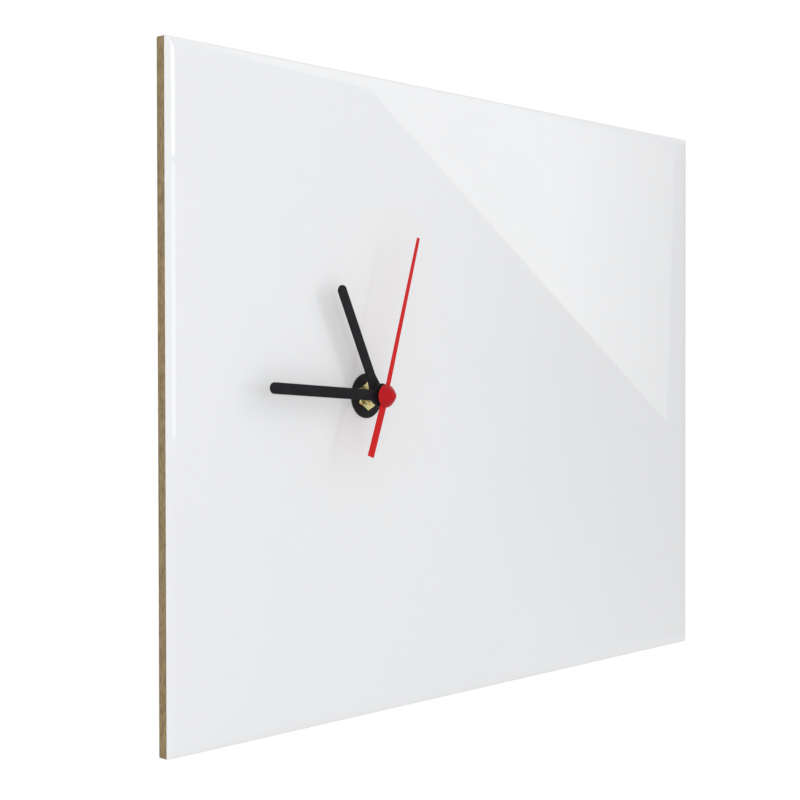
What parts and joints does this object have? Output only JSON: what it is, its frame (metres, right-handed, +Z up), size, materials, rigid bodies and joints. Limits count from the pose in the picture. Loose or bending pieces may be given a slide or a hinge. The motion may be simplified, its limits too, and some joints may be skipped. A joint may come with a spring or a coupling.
{
  "type": "wall clock",
  "caption": "Landscape wall clock: gloss white coated board, battery quartz movement set off centre, plain black hour and minute hands and a red second hand.",
  "frame": {"origin": "where the hand axis meets the wall plane, on the back of the movement case", "axes": "+Z up, +X to the right as seen from the front, +Y into the wall; the face looks along -Y"},
  "size_m": [0.4, 0.0404, 0.3],
  "materials": {
    "mdf": "raw cut fibreboard, matte",
    "gloss_white": "high gloss white coating",
    "black_rubber": "matte black rubber",
    "brass": "turned brass, bright",
    "case_plastic": "moulded black plastic, fine texture",
    "natural_plastic": "natural moulded plastic",
    "knob_plastic": "moulded black plastic",
    "nickel_steel": "nickel plated",
    "zinc_steel": "zinc plated",
    "soft_iron": "stamped soft iron",
    "magnet": "sintered magnet",
    "battery_wrap": "printed shrink sleeve, plain",
    "circuit_laminate": "solder masked laminate",
    "black_resin": "potting resin",
    "copper_wire": "enamelled copper wire",
    "hand_black": "black, slight sheen",
    "hand_red": "red paint, satin",
    "hub_red": "red moulded plastic, satin"
  },
  "bodies": {
    "case": {"board_core": "mdf", "face_coating": "gloss_white", "rubber_washer": "black_rubber", "hex_nut": "brass", "threaded_bushing": "brass", "case_front": "case_plastic", "case_rear": "case_plastic", "mid_plate": "natural_plastic", "contact_positive": "nickel_steel", "contact_negative": "nickel_steel", "circuit_board": "circuit_laminate", "quartz_crystal": "nickel_steel", "chip_blob": "black_resin", "coil_bobbin": "natural_plastic", "coil_winding": "copper_wire", "coil_core": "soft_iron", "stator": "soft_iron", "sawtooth_hanger": "zinc_steel", "hanger_screws": "zinc_steel"},
    "battery": {"battery_cell": "nickel_steel", "battery_jacket": "battery_wrap"},
    "rotor": {"rotor_magnet": "magnet", "rotor_pinion": "natural_plastic"},
    "step_wheel": {"step_wheel": "natural_plastic"},
    "second_hand": {"seconds_arbor": "nickel_steel", "seconds_wheel": "natural_plastic", "second_pointer": "hand_red", "second_hub": "hub_red"},
    "third_wheel": {"third_wheel": "natural_plastic"},
    "centre_wheel": {"centre_wheel": "natural_plastic"},
    "minute_hand": {"cannon_pinion": "brass", "minute_hand": "hand_black"},
    "minute_wheel": {"minute_wheel": "natural_plastic"},
    "hour_hand": {"hour_wheel": "natural_plastic", "hour_hand": "hand_black"},
    "setting_knob": {"setting_pinion": "natural_plastic", "setting_knob": "knob_plastic"}
  },
  "joints": [
    {"name": "second_hand_turn", "type": "hinge", "parent": "case", "child": "second_hand", "pos_m": [0, -0.02, 0], "axis": [0, 1, 0], "continuous": true},
    {"name": "minute_hand_turn", "type": "hinge", "parent": "case", "child": "minute_hand", "pos_m": [0, -0.02, 0], "axis": [0, 1, 0], "continuous": true},
    {"name": "hour_hand_turn", "type": "hinge", "parent": "case", "child": "hour_hand", "pos_m": [0, -0.02, 0], "axis": [0, 1, 0], "continuous": true},
    {"name": "rotor_turn", "type": "hinge", "parent": "case", "child": "rotor", "pos_m": [0.01213, -0.006, 0.00696], "axis": [0, 1, 0], "continuous": true},
    {"name": "step_wheel_turn", "type": "hinge", "parent": "case", "child": "step_wheel", "pos_m": [0.00677, -0.006, 0.00246], "axis": [0, 1, 0], "continuous": true},
    {"name": "third_wheel_turn", "type": "hinge", "parent": "case", "child": "third_wheel", "pos_m": [-0.00148, -0.009, 0.00837], "axis": [0, 1, 0], "continuous": true},
    {"name": "centre_wheel_turn", "type": "hinge", "parent": "case", "child": "centre_wheel", "pos_m": [0, -0.011, 0], "axis": [0, 1, 0], "continuous": true},
    {"name": "minute_wheel_turn", "type": "hinge", "parent": "case", "child": "minute_wheel", "pos_m": [-0.00677, -0.013, -0.00246], "axis": [0, 1, 0], "continuous": true},
    {"name": "setting_knob_turn", "type": "hinge", "parent": "case", "child": "setting_knob", "pos_m": [-0.013, -0.002, 0.00114], "axis": [0, 1, 0], "continuous": true},
    {"name": "battery_out", "type": "slide", "parent": "case", "child": "battery", "axis": [0, 1, 0], "range_m": [0, 0.02]}
  ],
  "couplings": [
    {"joint": "step_wheel_turn", "follows": "second_hand_turn", "ratio": -5},
    {"joint": "rotor_turn", "follows": "second_hand_turn", "ratio": 30},
    {"joint": "third_wheel_turn", "follows": "second_hand_turn", "ratio": -0.13333},
    {"joint": "centre_wheel_turn", "follows": "second_hand_turn", "ratio": 0.016667},
    {"joint": "minute_wheel_turn", "follows": "minute_hand_turn", "ratio": -0.33333},
    {"joint": "hour_hand_turn", "follows": "minute_hand_turn", "ratio": 0.083333},
    {"joint": "setting_knob_turn", "follows": "minute_hand_turn", "ratio": 1}
  ]
}
